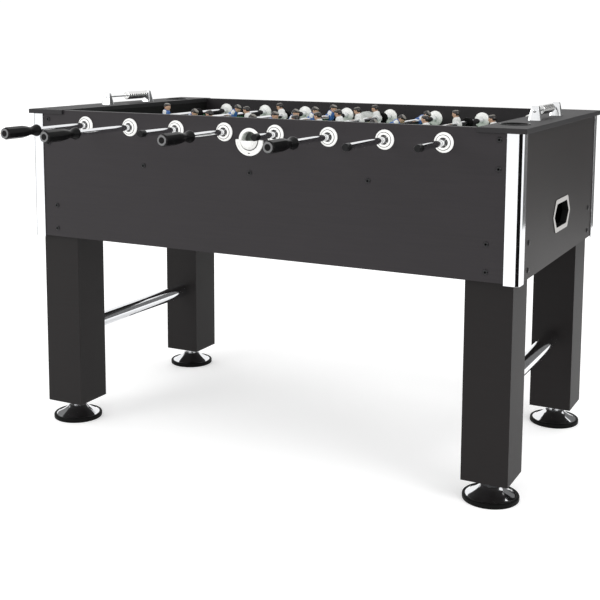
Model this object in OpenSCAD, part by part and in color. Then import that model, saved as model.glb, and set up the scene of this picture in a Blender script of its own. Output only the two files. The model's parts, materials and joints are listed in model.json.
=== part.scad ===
// Foosball table with eight playing rods, built from flat panels on four square legs.
// X runs along the table, Y across it with the front at -Y, Z up from the floor.
// Millimetres. The origin is on the floor under the middle of the cabinet.

/* [Cabinet] */
// Length over the two end boards
table_l = 1422; // [1410:1:1440]
// Width over the front and rear panels
cabinet_w = 762; // [750:1:780]
// Height of the top of the end boards above the floor
table_h = 903; // [895:1:915]
// Height of the cabinet from its lower edge to the top of the end boards
cabinet_h = 356; // [350:1:360]
// Thickness of the front and rear panels
side_t = 18; // [16:1:20]
// Thickness of the end panels
end_t = 16; // [14:1:18]
// Thickness of the end boards
board_t = 12; // [10:1:14]
// Depth of each end board along the table
board_d = 117; // [114:1:120]
// Thickness of the bright corner trims
trim_t = 2.5; // [2:0.5:3]
// Width of each flange of a corner trim
trim_w = 37.5; // [30:0.5:40]

/* [Legs] */
// Side of a square leg
leg_s = 116; // [110:1:118]
// Height of the leg's lower end above the floor
leg_z = 56; // [54:1:60]
// Wall of a hollow leg
leg_wall = 15; // [12:1:18]
// Outside diameter of a crossbar
crossbar_d = 44; // [38:1:48]
// Height of the crossbars' axis
crossbar_z = 262; // [200:1:320]
// Diameter of a leveler's base
foot_d = 138; // [130:1:140]

/* [Rods] */
// Distance between two rods
rod_pitch = 147.4; // [147:0.1:148]
// Height of the rods' axis
rod_z = 864; // [862:1:866]
// Outside diameter of a rod
rod_d = 16; // [15:0.5:17]
// Length over a handle and the cap at the rod's other end
rod_l = 1218; // [1210:1:1225]
// Diameter of a bearing's flange
flange_d = 48; // [46:1:54]
// Length of a handle
handle_l = 126; // [120:1:132]
// Largest diameter of a handle
handle_d = 31; // [30:1:34]
// Length of a rod's end cap
cap_l = 21; // [19:1:24]
// Diameter of a rod's end cap
cap_d = 18; // [18:1:22]

/* [Play area] */
// Height of the playing surface
field_z = 786; // [784:1:787]
// Thickness of the playing surface
field_t = 6; // [4:1:8]
// Width of a goal mouth
goal_w = 190; // [170:1:194]
// Height of a goal mouth
goal_h = 70; // [60:1:76]
// Thickness of the wall behind each goal line
goal_wall_t = 15; // [12:1:15]

/* [Fittings] */
// Diameter of the scoring beads
bead_d = 24; // [20:1:24]
// Spacing of the scoring beads along their wire
bead_pitch = 10; // [9.5:0.1:10]
// Diameter of a cup holder's rim
cup_rim_d = 72; // [70:1:74]
// Depth of a cup holder below its board
cup_depth = 62; // [50:1:80]
// Diameter of a serve hole through its cup
serve_d = 44; // [42:1:46]

/* [Hidden] */

$fn = 64;
cut = 1;                                  // how far a cutter runs past a face
gap = 0.1;                                // radial clearance of a running fit

half_l = table_l / 2;
side_out = cabinet_w / 2;                 // outer face of the front and rear panels
side_in = side_out - side_t;
end_out = half_l - 11;                    // outer face of an end panel
end_in = end_out - end_t;
cab_z = table_h - cabinet_h;              // lower edge of the cabinet
board_z = table_h - board_t;              // underside of the end boards
board_in = half_l - board_d;              // inner edge of an end board
board_y = side_out + 6.5;                 // end boards' half width
panel_top = table_h - 1;
corner_r = 10;                            // rounded outer corner of the cabinet

leg_x = end_in - leg_s / 2;               // legs stand inside the panels
leg_y = side_in - leg_s / 2;
leg_top = cab_z + 113;
leg_floor = 18;                           // thickness of a leg's closed lower end
insert_d = 16;                            // threaded insert for a leveler's stud

bolt_d = 6;
bolt_head_d = 13;
bolt_head_t = 3;
hex_d = 5;
bolt_reach = 13;                          // how far a bolt runs on behind its panel
leg_bolt_z = [cab_z + 23, cab_z + 88];
corner_bolt_x = 647;
corner_bolt_z = [board_z - 82, board_z - 15];
rail_bolt_x = 326;
rail_bolt_z = table_h - 140;

rod_r = rod_d / 2;
bush_d = 30;                              // bearing sleeve through the panel
flange_t = 9;
nut_t = 8;
man_half = 13;                            // half of a man's width along the rod
stop_l = 18;                              // rubber bumper on a rod
stop_d = 32;
stop_gap = 1;                             // left between a bumper and the nut at a limit

// One row per rod: handle side (-1 front, 1 rear), front end's distance beyond the
// panel's flange line, number of men, middle man's Y, spacing, lean about Y in degrees,
// furthest travel to the front and to the rear
RODS = [
    [-1, 317, 1, 5, 0, 8, 100, 160],
    [-1, 343, 2, 28, 245, 40, 75, 115],
    [1, 161, 3, 2, 205, -16, 100, 110],
    [-1, 279, 5, -14, 124, 25, 46, 70],
    [1, 107, 5, 0, 130, -12, 46, 46],
    [-1, 304, 3, 32, 195, 50, 112, 90],
    [1, 222, 2, 15, 240, -5, 72, 120],
    [1, 167, 1, 5, 0, -10, 120, 130]
];
front_line = side_out + 3;

serve_z = 846;                            // centre of a serve hole
serve_wall = 2.8;                         // wall of the serve cup's sleeve
serve_ring_d = 62;
serve_flange_r = 40;                      // half-round flange below the ring

return_z = cab_z + 112;                   // middle of a ball-return opening
score_x = 652;
post_y = 102.5;
post_h = 35;
wire_d = 5;
wire_z = table_h + 23;
bead_count = 10;
bead_gap = 0.2;
cup_x = 647;
cup_y = 261;
cup_wall = 2.5;
cup_bore_r = 32;
cup_rim_t = 2;

wood = [0.17, 0.165, 0.17];
black = [0.08, 0.08, 0.085];
chrome = [0.82, 0.83, 0.85];
white = [0.93, 0.93, 0.92];
field_green = [0.16, 0.42, 0.24];
blue_kit = [0.12, 0.24, 0.52];
white_kit = [0.9, 0.9, 0.88];
cleat_tan = [0.62, 0.5, 0.36];

function rod_x(k) = (k - 4.5) * rod_pitch;
function men_y(k) = let (r = RODS[k - 1])
    [for (i = [0:r[2] - 1]) r[3] + (i - (r[2] - 1) / 2) * r[4]];
function front_end(k) = -front_line - RODS[k - 1][1];

// ---- helpers -------------------------------------------------------------

// A child at the front and the same child turned half a turn for the rear
module both_turned() {
    children();
    rotate([0, 0, 180]) children();
}

module mirror_x() {
    children();
    mirror([1, 0, 0]) children();
}

module mirror_y() {
    children();
    mirror([0, 1, 0]) children();
}

module four_corners() {
    mirror_x() mirror_y() children();
}

// Cylinder along Y from y0 to y1
module y_rod(d, y0, y1) {
    translate([0, y0, 0]) rotate([-90, 0, 0]) cylinder(d = d, h = y1 - y0);
}

// Cylinder along X from x0 to x1
module x_rod(d, x0, x1) {
    translate([x0, 0, 0]) rotate([0, 90, 0]) cylinder(d = d, h = x1 - x0);
}

// Profile [radius, position] turned about the Y axis
module y_turned(points) {
    rotate([-90, 0, 0]) rotate_extrude() polygon(points);
}

// Socket-head bolt along +Y, with its head's underside at Y = 0
module bolt_y(reach) {
    difference() {
        union() {
            y_rod(bolt_head_d, -bolt_head_t, 0);
            y_rod(bolt_d, -cut / 2, reach);
        }
        translate([0, -bolt_head_t - cut, 0]) rotate([-90, 0, 0])
            cylinder(d = hex_d, h = bolt_head_t, $fn = 6);
    }
}

// ---- cabinet -------------------------------------------------------------

// Plan of the front panel, with rounded outer corners
module side_plan() {
    difference() {
        translate([-end_out, -side_out]) square([2 * end_out, side_t]);
        mirror_x() translate([end_out - corner_r, -side_out - cut])
            square([corner_r + cut, corner_r + cut]);
    }
    mirror_x() intersection() {
        translate([end_out - corner_r, -side_out + corner_r]) circle(r = corner_r);
        translate([end_out - corner_r, -side_out]) square([corner_r, corner_r]);
    }
}

module side_panel() {
    color(wood) difference() {
        translate([0, 0, cab_z]) linear_extrude(panel_top - cab_z) side_plan();
        mirror_x() translate([board_in, -side_out - cut, board_z])
            cube([board_d, side_t + 2 * cut, board_t]);
        for (k = [1:8]) translate([rod_x(k), 0, rod_z])
            y_rod(bush_d + 2 * gap, -side_out - cut, -side_in + cut);
        translate([0, 0, serve_z])
            y_rod(serve_d + 2 * serve_wall + 2 * gap, -side_out - cut, -side_in + cut);
        for (x = [-1, 1], z = leg_bolt_z) translate([x * (leg_x - 4), 0, z])
            y_rod(bolt_d + 2 * gap, -side_out - cut, -side_in + cut);
        for (x = [-1, 1], z = corner_bolt_z) translate([x * corner_bolt_x, 0, z])
            y_rod(bolt_d + 2 * gap, -side_out - cut, -side_in + cut);
        for (x = [-1:1]) translate([x * rail_bolt_x, 0, rail_bolt_z])
            y_rod(bolt_d + 2 * gap, -side_out - cut, -side_in + cut);
    }
}

module front_panel() { side_panel(); }
module rear_panel() { rotate([0, 0, 180]) side_panel(); }

// Outline of a ball-return opening, seen from the end: wide in the middle, with
// slightly slanted top and bottom edges
module return_outline(grow) {
    offset_w = 74 + grow;
    top = 30 + grow;
    shoulder_w = 50 + grow * 0.7;
    polygon([[-offset_w, 0], [-shoulder_w - 4, -top + 4], [-shoulder_w, -top],
             [shoulder_w, -top], [shoulder_w + 4, -top + 4], [offset_w, 0],
             [shoulder_w + 4, top - 4], [shoulder_w, top],
             [-shoulder_w, top], [-shoulder_w - 4, top - 4]]);
}

// The same outline standing in the right-hand end, from x0 to x1
module return_prism(grow, x0, x1) {
    translate([x0, 0, return_z]) rotate([90, 0, 90])
        linear_extrude(x1 - x0) return_outline(grow);
}

module end_panel() {
    color(wood) difference() {
        translate([end_in, -side_in, cab_z])
            cube([end_t, 2 * side_in, board_z - cab_z]);
        return_prism(3, end_in - cut, end_out + cut);
        for (y = [-1, 1], z = leg_bolt_z) translate([0, y * leg_y, z - 2])
            x_rod(bolt_d + 2 * gap, end_in - cut, end_out + cut);
    }
}

module right_end_panel() { end_panel(); }
module left_end_panel() { mirror([1, 0, 0]) end_panel(); }

module playfield() {
    length = 2 * board_in;
    color(field_green) translate([-length / 2, -side_in, field_z - field_t])
        cube([length, 2 * side_in, field_t]);
}

module goal_walls() {
    color(black) mirror_x() difference() {
        translate([board_in, -side_in, field_z - 60])
            cube([goal_wall_t, 2 * side_in, board_z - field_z + 60]);
        translate([board_in - cut, -goal_w / 2, field_z])
            cube([goal_wall_t + 2 * cut, goal_w, goal_h]);
    }
}

module top_board(cup_side) {
    color(wood) difference() {
        translate([board_in, -board_y, board_z]) cube([board_d, 2 * board_y, board_t]);
        translate([cup_x, cup_side * cup_y, board_z - cut])
            cylinder(r = cup_bore_r + cup_wall + gap, h = board_t + 2 * cut);
    }
}

module right_top_board() { top_board(-1); }
module left_top_board() { rotate([0, 0, 180]) top_board(-1); }

// Plan of one corner trim: an L whose outer corner is rounded
module trim_plan() {
    x = end_out + trim_t;
    y = side_out + trim_t;
    r = corner_r + trim_t;
    difference() {
        translate([x - trim_w, y - trim_w]) square(trim_w);
        translate([x - r, y - r]) difference() {
            square(r + cut);
            circle(r = r);
        }
        translate([x - trim_w - cut, y - trim_w - cut]) difference() {
            square(trim_w + cut - trim_t);
            translate([trim_w + cut - r, trim_w + cut - r]) difference() {
                square(r);
                circle(r = corner_r);
            }
        }
    }
}

module corner_trims() {
    color(chrome) four_corners() translate([0, 0, cab_z - 4])
        linear_extrude(board_z - cab_z + 4) trim_plan();
}

// Corner blocks under the end boards and rails under the playing surface
module wood_cleats() {
    block = [42, 25, 190];
    rail_w = 20;
    rail_h = 34;
    rail_l = 2 * (board_in - 4);
    color(cleat_tan) {
        four_corners() difference() {
            translate([corner_bolt_x - block[0] / 2, side_in - block[1], board_z - block[2]])
                cube(block);
            for (z = corner_bolt_z) translate([corner_bolt_x, 0, z])
                y_rod(bolt_d + 2 * gap, side_in - bolt_reach - cut, side_in + cut);
        }
        mirror_y() difference() {
            translate([-rail_l / 2, side_in - rail_w, field_z - field_t - rail_h])
                cube([rail_l, rail_w, rail_h]);
            for (x = [-1:1]) translate([x * rail_bolt_x, 0, rail_bolt_z])
                y_rod(bolt_d + 2 * gap, side_in - bolt_reach - cut, side_in + cut);
        }
    }
}

module cabinet_floor() {
    floor_t = 6;
    color(wood) difference() {
        translate([-end_in, -side_in, cab_z + 2]) cube([2 * end_in, 2 * side_in, floor_t]);
        four_corners() translate([leg_x - leg_s / 2, leg_y - leg_s / 2, cab_z])
            cube([leg_s + cut, leg_s + cut, floor_t + 4]);
    }
}

// ---- legs ----------------------------------------------------------------

module leg() {
    inner = leg_s - 2 * leg_wall;
    difference() {
        translate([leg_x - leg_s / 2, leg_y - leg_s / 2, leg_z])
            cube([leg_s, leg_s, leg_top - leg_z]);
        translate([leg_x - inner / 2, leg_y - inner / 2, leg_z + leg_floor])
            cube([inner, inner, leg_top]);
        translate([leg_x, leg_y, leg_z - cut])
            cylinder(d = insert_d + 2 * gap, h = leg_floor + 2 * cut);
        for (z = leg_bolt_z) {
            translate([leg_x - 4, 0, z])
                y_rod(bolt_d + 2 * gap, side_in - bolt_reach - cut, side_in + cut);
            translate([0, leg_y, z - 2])
                x_rod(bolt_d + 2 * gap, end_in - bolt_reach - cut, end_in + cut);
        }
    }
}

module legs() { color(wood) four_corners() leg(); }

module crossbars() {
    reach = leg_y - leg_s / 2;
    wall = 1.5;
    color(chrome) mirror_x() translate([leg_x, 0, crossbar_z]) difference() {
        y_rod(crossbar_d, -reach, reach);
        y_rod(crossbar_d - 2 * wall, -reach - cut, reach + cut);
    }
}

// Bell-shaped leveler: rim on the floor, cone, nut and a stud that runs up the leg
module leveler(x, y) {
    nut_z = 36;
    nut_h = 9;
    stud_top = leg_z + leg_floor + 30;
    r = foot_d / 2;
    color(chrome) translate([x * leg_x, y * leg_y, 0]) {
        difference() {
            rotate_extrude($fn = 96)
                polygon([[0, 0], [r - 1.5, 0], [r, 1.5], [r, 10], [r - 2, 12], [r - 8, 12],
                         [r - 26, 20], [31, 29], [26, nut_z - 1], [25, nut_z], [0, nut_z]]);
            translate([0, 0, -cut]) cylinder(r = r - 8, h = 3 + cut);
        }
        translate([0, 0, nut_z]) cylinder(d = 27, h = nut_h, $fn = 6);
        translate([0, 0, nut_z]) cylinder(d = insert_d, h = stud_top - nut_z);
    }
}

module front_left_leveler() { leveler(-1, -1); }
module front_right_leveler() { leveler(1, -1); }
module rear_left_leveler() { leveler(-1, 1); }
module rear_right_leveler() { leveler(1, 1); }

// ---- ball return ---------------------------------------------------------

// Moulded chute from the goal mouth down to the opening in the end panel
module ball_boxes() {
    wall = 3;
    depth = end_in - board_in - goal_wall_t;
    half = goal_w / 2 + 3;
    z0 = return_z - 44;
    color(black) mirror_x() translate([board_in + goal_wall_t, 0, z0]) difference() {
        translate([0, -half, 0]) cube([depth, 2 * half, field_z - z0 - 2]);
        translate([wall, -half + wall, wall])
            cube([depth, 2 * (half - wall), field_z - z0]);
    }
}

module return_bezels() {
    lip = 2;
    color([0.7, 0.7, 0.69]) mirror_x() difference() {
        union() {
            return_prism(12, end_out, end_out + lip);
            return_prism(2.5, end_in, end_out + lip / 2);
        }
        return_prism(0, end_in - cut, end_out + lip + cut);
    }
}

// ---- serving -------------------------------------------------------------

// Ring and sleeve of a serve hole, with a half-round flange and a ball pocket below
module serve_cups() {
    ring_t = 4;
    flange_h = 5;
    bore_r = serve_d / 2;
    pocket_r = bore_r + serve_wall;
    r = serve_flange_r;
    color(white) both_turned() translate([0, -side_out, serve_z]) difference() {
        union() {
            y_rod(serve_ring_d, -ring_t, 0);
            y_rod(serve_d + 2 * serve_wall, -ring_t, side_t);
            intersection() {
                union() {
                    y_turned([[0, 0], [r, 0], [r, 2 - flange_h], [r - 2, -flange_h],
                              [r - 5, -flange_h], [r - 7, 2 - flange_h], [0, 2 - flange_h]]);
                    sphere(r = pocket_r);
                }
                translate([-r - cut, -pocket_r, -r - cut])
                    cube([2 * (r + cut), pocket_r, r + cut]);
            }
        }
        sphere(r = bore_r);
        y_rod(serve_d, 0, side_t + cut);
        intersection() {
            y_rod(serve_d, -ring_t - cut, cut);
            translate([-bore_r - cut, -ring_t - cut, 0])
                cube([2 * (bore_r + cut), ring_t + 2 * cut, bore_r + cut]);
        }
    }
}

// Half-round hood inside the play area, open below, that drops the ball on the field
module serve_hoods() {
    r = 40;
    wall = 3;
    depth = 40;
    hood_z = serve_z - 8;
    color([0.8, 0.8, 0.8]) both_turned() translate([0, -side_in, hood_z]) difference() {
        intersection() {
            y_turned([[0, 0], [r, 0], [r, depth * 0.5], [r * 0.86, depth * 0.82],
                      [r * 0.6, depth], [0, depth]]);
            translate([-r - cut, 0, 0]) cube([2 * (r + cut), depth, r + cut]);
        }
        y_turned([[0, -cut], [r - wall, -cut], [r - wall, depth * 0.45],
                  [r * 0.78, depth * 0.76], [r * 0.54, depth - wall], [0, depth - wall]]);
    }
}

// ---- bearings and bolts --------------------------------------------------

module every_bearing() {
    for (k = [1:8]) mirror_y() translate([rod_x(k), 0, rod_z]) children();
}

// Domed flange outside the panel, with the sleeve that carries the rod
module bearing_flanges() {
    r = flange_d / 2;
    color(white) every_bearing() difference() {
        y_turned([[0, side_in], [bush_d / 2, side_in], [bush_d / 2, side_out],
                  [r, side_out], [r, side_out + 3], [r - 3, side_out + 6],
                  [bush_d / 2, side_out + flange_t], [0, side_out + flange_t]]);
        y_rod(rod_d + 2 * gap, side_in - cut, side_out + flange_t + cut);
    }
}

module bearing_nuts() {
    r = flange_d / 2 - 1;
    color(white) every_bearing() difference() {
        y_turned([[0, side_in], [r, side_in], [r, side_in - 3], [r - 4, side_in - 6],
                  [bush_d / 2 - 2, side_in - nut_t], [0, side_in - nut_t]]);
        y_rod(rod_d + 2 * gap, side_in - nut_t - cut, side_in + cut);
    }
}

module cabinet_bolts() {
    reach = side_t + bolt_reach;
    color(black) {
        both_turned() translate([0, -side_out, 0]) {
            for (x = [-1, 1], z = leg_bolt_z) translate([x * (leg_x - 4), 0, z]) bolt_y(reach);
            for (x = [-1, 1], z = corner_bolt_z)
                translate([x * corner_bolt_x, 0, z]) bolt_y(reach);
            for (x = [-1:1]) translate([x * rail_bolt_x, 0, rail_bolt_z]) bolt_y(reach);
        }
        for (x = [-1, 1], y = [-1, 1], z = leg_bolt_z)
            translate([x * end_out, y * leg_y, z - 2]) rotate([0, 0, x * 90])
                bolt_y(end_t + bolt_reach);
    }
}

// ---- end boards' fittings -------------------------------------------------

module cup_holders() {
    floor_t = 3;
    color(black) both_turned() translate([cup_x, -cup_y, 0]) difference() {
        union() {
            translate([0, 0, table_h - cup_depth - floor_t])
                cylinder(r = cup_bore_r + cup_wall, h = cup_depth + floor_t + cut);
            translate([0, 0, table_h]) cylinder(d = cup_rim_d, h = cup_rim_t);
        }
        translate([0, 0, table_h - cup_depth])
            cylinder(r = cup_bore_r, h = cup_depth + cup_rim_t + cut);
    }
}

// Side view of a post that narrows from base to top, drawn through its depth
module post_view(base, top, depth) {
    translate([0, depth / 2, 0]) rotate([90, 0, 0]) linear_extrude(depth)
        polygon([[-base / 2, 0], [base / 2, 0], [top / 2, post_h - 2], [top / 2 - 2, post_h],
                 [2 - top / 2, post_h], [-top / 2, post_h - 2]]);
}

// Two tapered posts on each end board, with the beads' wire between them
module scorer_frames() {
    base_w = 31;
    base_t = 25;
    wire_end = post_y + 4;
    color(white) mirror_x() translate([score_x, 0, 0]) {
        mirror_y() difference() {
            translate([0, post_y, table_h]) intersection() {
                post_view(base_w, 19, base_t + cut);
                rotate([0, 0, 90]) post_view(base_t, 10, base_w + cut);
            }
            translate([0, 0, wire_z])
                y_rod(wire_d + 2 * gap, post_y - base_t, post_y + base_t);
        }
        translate([0, 0, wire_z]) y_rod(wire_d, -wire_end, wire_end);
    }
}

// A row of beads on the wire, from y0 towards the rear
module beads(y0) {
    bevel = 1;
    r = bead_d / 2;
    bead_t = bead_pitch - bead_gap;
    for (i = [0:bead_count - 1]) {
        y = y0 + i * bead_pitch;
        difference() {
            y_turned([[0, y], [r - bevel, y], [r, y + bevel], [r, y + bead_t - bevel],
                      [r - bevel, y + bead_t], [0, y + bead_t]]);
            y_rod(wire_d + 2 * gap, y - cut, y + bead_t + cut);
        }
    }
}

module left_scorer_beads() {
    color([0.82, 0.82, 0.8]) translate([-score_x, 0, wire_z]) beads(-9);
}

module right_scorer_beads() {
    color([0.82, 0.82, 0.8]) translate([score_x, 0, wire_z]) beads(-56);
}

// ---- playing rods --------------------------------------------------------

// Rod tube, from inside the handle to inside the end cap
module rod_tube(k) {
    bite = 12;
    front = front_end(k);
    wall = 2;
    color(chrome) translate([rod_x(k), 0, rod_z]) difference() {
        y_rod(rod_d, front + bite, front + rod_l - bite);
        y_rod(rod_d - 2 * wall, front + bite - cut, front + rod_l - bite + cut);
    }
}

// Side view of a man, facing +X, with the rod through the chest at the origin
module man_side() {
    polygon([[-9, 23], [8, 23], [12, 17], [12.5, 4], [11, -14], [7.5, -24], [6.5, -54],
             [11, -62], [10, -70], [-8, -70], [-8.5, -60], [-6.5, -50], [-8, -24],
             [-11.5, -12], [-12, 6], [-12, 17]]);
}

module man(y) {
    head_r = 11;
    head_z = 31;
    difference() {
        union() {
            translate([0, y + man_half, 0]) rotate([90, 0, 0])
                linear_extrude(2 * man_half) man_side();
            translate([0, y, 18]) cylinder(r = 5.5, h = 10);
            translate([0.5, y, head_z]) sphere(r = head_r);
        }
        y_rod(rod_d + 2 * gap, y - man_half - cut, y + man_half + cut);
    }
}

module rod_men(k) {
    r = RODS[k - 1];
    facing = r[0] < 0 ? 0 : 180;
    color(r[0] < 0 ? blue_kit : white_kit) translate([rod_x(k), 0, rod_z])
        rotate([0, r[5], 0]) for (y = men_y(k))
            translate([0, y, 0]) rotate([0, 0, facing]) man(0);
}

// Contoured grip: barrel, waist and a flared inner end
module rod_handle(k) {
    r = handle_d / 2;
    l = handle_l;
    side = RODS[k - 1][0];
    end_y = side < 0 ? front_end(k) : front_end(k) + rod_l;
    color(black) translate([rod_x(k), end_y, rod_z]) rotate([0, 0, side < 0 ? 0 : 180])
        difference() {
            y_turned([[0, 1.5], [9, 1.5], [10.5, 0], [r - 3, 0], [r, 4.5], [r, l * 0.52],
                      [r - 1.5, l * 0.62], [10.2, l * 0.74], [10.2, l * 0.8],
                      [r - 1, l * 0.91], [r, l * 0.95], [10.8, l], [0, l]]);
            y_rod(rod_d + 2 * gap, 10, l + cut);
        }
}

// Rubber bumpers at the travel limits and the cap on the far end
module rod_stops(k) {
    r = RODS[k - 1];
    limit = side_in - nut_t - stop_gap;
    side = r[0];
    cap_y = side < 0 ? front_end(k) + rod_l : front_end(k);
    c = cap_d / 2;
    color(black) translate([rod_x(k), 0, rod_z]) {
        difference() {
            union() {
                y_rod(stop_d, r[6] - limit, r[6] - limit + stop_l);
                y_rod(stop_d, limit - r[7] - stop_l, limit - r[7]);
            }
            y_rod(rod_d + 2 * gap, -limit, limit);
        }
        translate([0, cap_y, 0]) rotate([0, 0, side < 0 ? 180 : 0]) difference() {
            y_turned([[0, 0], [c - 2, 0], [c, 2], [c, cap_l - 0.5], [c - 0.5, cap_l],
                      [0, cap_l]]);
            y_rod(rod_d + 2 * gap, 8, cap_l + cut);
        }
    }
}

// ---- what is drawn -------------------------------------------------------

front_panel();
rear_panel();
left_end_panel();
right_end_panel();
playfield();
goal_walls();
left_top_board();
right_top_board();
corner_trims();
wood_cleats();
legs();
crossbars();
cabinet_floor();
ball_boxes();
return_bezels();
serve_cups();
serve_hoods();
bearing_flanges();
bearing_nuts();
cabinet_bolts();
cup_holders();
scorer_frames();
left_scorer_beads();
right_scorer_beads();
front_left_leveler();
front_right_leveler();
rear_left_leveler();
rear_right_leveler();
for (k = [1:8]) {
    rod_tube(k);
    rod_men(k);
    rod_handle(k);
    rod_stops(k);
}
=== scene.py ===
"""Foosball table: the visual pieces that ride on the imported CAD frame. Metres, +Z up."""

import json
import math

import bmesh
import bpy
from mathutils import Matrix, Vector


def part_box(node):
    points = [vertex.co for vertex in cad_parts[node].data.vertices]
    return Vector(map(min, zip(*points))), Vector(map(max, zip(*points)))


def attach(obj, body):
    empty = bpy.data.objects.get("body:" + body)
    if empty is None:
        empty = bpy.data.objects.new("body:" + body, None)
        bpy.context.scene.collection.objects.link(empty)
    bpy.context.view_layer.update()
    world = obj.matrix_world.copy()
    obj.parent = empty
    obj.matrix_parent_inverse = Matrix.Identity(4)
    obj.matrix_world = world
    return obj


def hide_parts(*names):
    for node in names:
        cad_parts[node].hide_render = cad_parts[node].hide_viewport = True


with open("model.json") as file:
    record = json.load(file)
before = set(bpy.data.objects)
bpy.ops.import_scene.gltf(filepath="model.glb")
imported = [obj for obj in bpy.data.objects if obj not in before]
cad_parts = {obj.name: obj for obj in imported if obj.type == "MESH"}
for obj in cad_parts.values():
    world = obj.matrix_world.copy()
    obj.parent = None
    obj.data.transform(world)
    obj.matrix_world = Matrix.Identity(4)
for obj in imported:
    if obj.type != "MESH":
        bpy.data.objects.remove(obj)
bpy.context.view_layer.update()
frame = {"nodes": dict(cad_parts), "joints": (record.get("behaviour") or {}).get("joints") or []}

MM = 0.001
SIDES = (-1, 1)
RODS = range(1, 9)
JOINTS = {joint["name"]: joint for joint in frame["joints"]}

# Faces and axes that the pieces are set out from, all read from the frame
PANEL_LOW, PANEL_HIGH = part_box("front_panel")
REAR_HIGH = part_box("rear_panel")[1]
BOARD_LOW, BOARD_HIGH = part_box("right_top_board")
END_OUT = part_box("right_end_panel")[1].x
PANEL_OUT = REAR_HIGH.y
PANEL_T = PANEL_HIGH.y - PANEL_LOW.y
PANEL_IN = PANEL_OUT - PANEL_T
BOARD_TOP = BOARD_HIGH.z
ROD_Z = sum(corner.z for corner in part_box("rod_1_tube")) / 2
ROD_R = (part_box("rod_1_tube")[1].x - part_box("rod_1_tube")[0].x) / 2


def rod_x(rod):
    low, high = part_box(f"rod_{rod}_tube")
    return (low.x + high.x) / 2


# ---- shader values and finishes ----------------------------------------------


class Level:
    """A number in a finish's nodes. Arithmetic on it adds Math nodes."""

    def __init__(self, finish, socket):
        self.finish = finish
        self.socket = socket

    def math(self, operation, first, second=0.0):
        node = self.finish.add(
            "ShaderNodeMath", {"operation": operation}, {0: first, 1: second}
        )
        return Level(self.finish, node.outputs[0])

    def __add__(self, other):
        return self.math("ADD", self, other)

    __radd__ = __add__

    def __sub__(self, other):
        return self.math("SUBTRACT", self, other)

    def __rsub__(self, other):
        return self.math("SUBTRACT", other, self)

    def __mul__(self, other):
        return self.math("MULTIPLY", self, other)

    __rmul__ = __mul__

    def __abs__(self):
        return self.math("ABSOLUTE", self)

    def power(self, exponent):
        return self.math("POWER", self, exponent)

    def sine(self):
        return self.math("SINE", self)

    def below(self, limit):
        """1 where the value is under the limit, else 0."""
        return self.math("LESS_THAN", self, limit)

    def clamped(self):
        return self.math("MINIMUM", self.math("MAXIMUM", self, 0.0), 1.0)

    def at_least(self, other):
        return self.math("MAXIMUM", self, other)


class Finish:
    """One material. Every node in it comes from add()."""

    def __init__(self, name):
        self.material = bpy.data.materials.new(name)
        self.material.use_nodes = True
        self.tree = self.material.node_tree
        self.tree.nodes.clear()

    def add(self, kind, settings=None, inputs=None):
        node = self.tree.nodes.new(kind)
        for key, value in (settings or {}).items():
            setattr(node, key, value)
        for key, value in (inputs or {}).items():
            if isinstance(value, Level):
                value = value.socket
            if isinstance(value, bpy.types.NodeSocket):
                self.tree.links.new(value, node.inputs[key])
            else:
                node.inputs[key].default_value = value
        return node

    def place(self):
        """The point on the piece, in the piece's own metres."""
        return self.add("ShaderNodeTexCoord").outputs["Object"]

    def axes(self):
        split = self.add("ShaderNodeSeparateXYZ", inputs={0: self.place()})
        return [Level(self, split.outputs[axis]) for axis in "XYZ"]

    def noise(self, scale, detail=3.0, stretch=(1.0, 1.0, 1.0)):
        stretched = self.add(
            "ShaderNodeVectorMath", {"operation": "MULTIPLY"}, {0: self.place(), 1: stretch}
        )
        node = self.add(
            "ShaderNodeTexNoise",
            inputs={"Vector": stretched.outputs[0], "Scale": scale, "Detail": detail},
        )
        return Level(self, node.outputs["Fac"])

    def blend(self, first, second, factor):
        """Colour that goes from first to second as factor goes from 0 to 1."""
        first, second = [
            (*colour, 1.0) if isinstance(colour, tuple) and len(colour) == 3 else colour
            for colour in (first, second)
        ]
        node = self.add(
            "ShaderNodeMix", {"data_type": "RGBA"}, {"Factor": factor, 6: first, 7: second}
        )
        return node.outputs[2]

    def bump(self, height, depth, strength=1.0):
        node = self.add(
            "ShaderNodeBump", inputs={"Height": height, "Distance": depth, "Strength": strength}
        )
        return node.outputs[0]

    def surface(self, **inputs):
        """Closes the finish with one surface shader; spaces in names are underscores."""
        shader = self.add(
            "ShaderNodeBsdfPrincipled",
            inputs={key.replace("_", " "): value for key, value in inputs.items()},
        )
        self.add("ShaderNodeOutputMaterial", inputs={0: shader.outputs[0]})
        return self.material


def laminate(name, light, roughness=0.46, sheen=0.27):
    """Black wood-grain laminate: long fine grain that the sheen picks out."""
    dark = tuple(0.52 * part for part in light)
    finish = Finish(name)
    grain = finish.noise(9.0, 8.0, (1.0, 1.0, 26.0))
    pores = finish.noise(240.0, 3.0, (1.0, 1.0, 7.0))
    cloud = finish.noise(2.2, 2.0)
    tone = (grain * 0.55 + pores * 0.25 + cloud * 0.5 - 0.15).clamped()
    return finish.surface(
        Base_Color=finish.blend(dark, light, tone),
        Roughness=roughness + (pores - 0.5) * 0.16 + (cloud - 0.5) * 0.08,
        Specular_IOR_Level=sheen,
        Normal=finish.bump(grain * 0.3 + pores * 0.7, 0.00012, 0.5),
    )


def polished_chrome(name="polished_chrome", roughness=0.05, tint=(0.84, 0.85, 0.87)):
    """Bright plating with faint wipe marks in its gloss."""
    finish = Finish(name)
    wipes = finish.noise(30.0, 4.0, (1.0, 0.15, 1.0))
    dust = finish.noise(500.0, 2.0)
    shade = tuple(0.93 * part for part in tint)
    return finish.surface(
        Base_Color=finish.blend(shade, tint, wipes),
        Metallic=1.0,
        Roughness=roughness + wipes * 0.05 + dust * 0.02,
    )


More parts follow.
